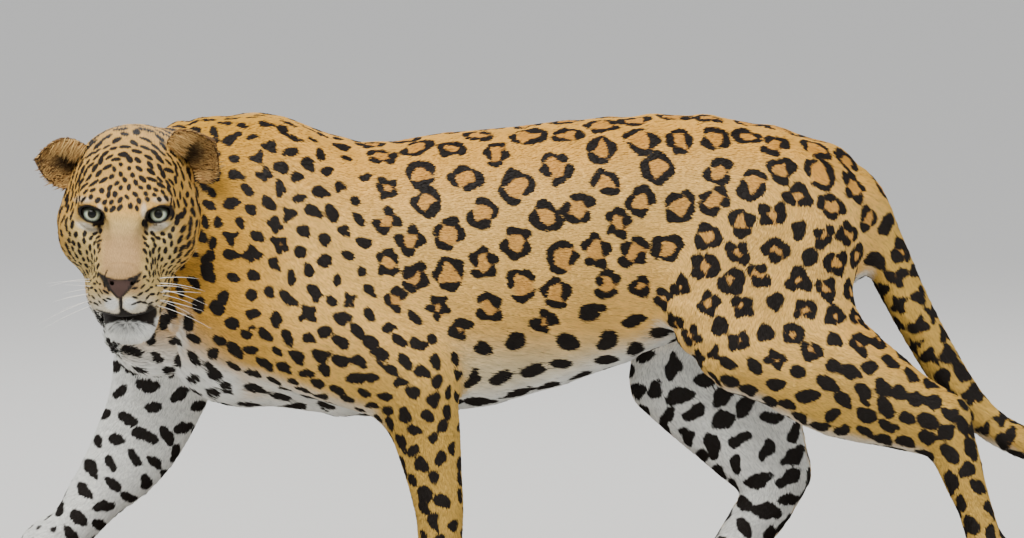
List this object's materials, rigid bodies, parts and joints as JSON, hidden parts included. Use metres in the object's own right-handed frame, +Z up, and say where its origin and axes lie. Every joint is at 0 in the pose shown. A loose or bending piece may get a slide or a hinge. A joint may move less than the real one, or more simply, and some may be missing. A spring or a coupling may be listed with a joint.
{
  "type": "leopard model",
  "caption": "Life-size leopard walking with its head turned to the side, mouth a little open and tail curved up behind, as a still display model on a flat base.",
  "frame": {"origin": "centre of the underside of the flat base", "axes": "+Z up, the animal's body along X with its chest towards -X and its tail towards +X, its left flank and its face towards -Y"},
  "size_m": [1.6073, 0.512, 0.7071],
  "materials": {
    "coat": "short dense fur, tawny with black rosettes, pale underneath",
    "nose": "bare, slightly damp brown skin",
    "eye": "wet gloss, pale green-grey iris with a round black pupil",
    "stand": "dark stained board, satin"
  },
  "bodies": {
    "root": {"head": "coat", "lower_jaw": "coat", "nose": "nose", "eye_left": "eye", "eye_right": "eye", "ear_left": "coat", "ear_right": "coat", "neck": "coat", "chest": "coat", "loin": "coat", "pelvis": "coat", "left_shoulder_and_upper_arm": "coat", "left_forearm": "coat", "left_fore_paw": "coat", "right_shoulder_and_upper_arm": "coat", "right_forearm": "coat", "right_fore_paw": "coat", "left_thigh": "coat", "left_shank": "coat", "left_hind_foot": "coat", "right_thigh": "coat", "right_shank": "coat", "right_hind_foot": "coat", "tail_base": "coat", "tail_middle": "coat", "tail_tip": "coat", "stand_base": "stand"}
  },
  "joints": []
}
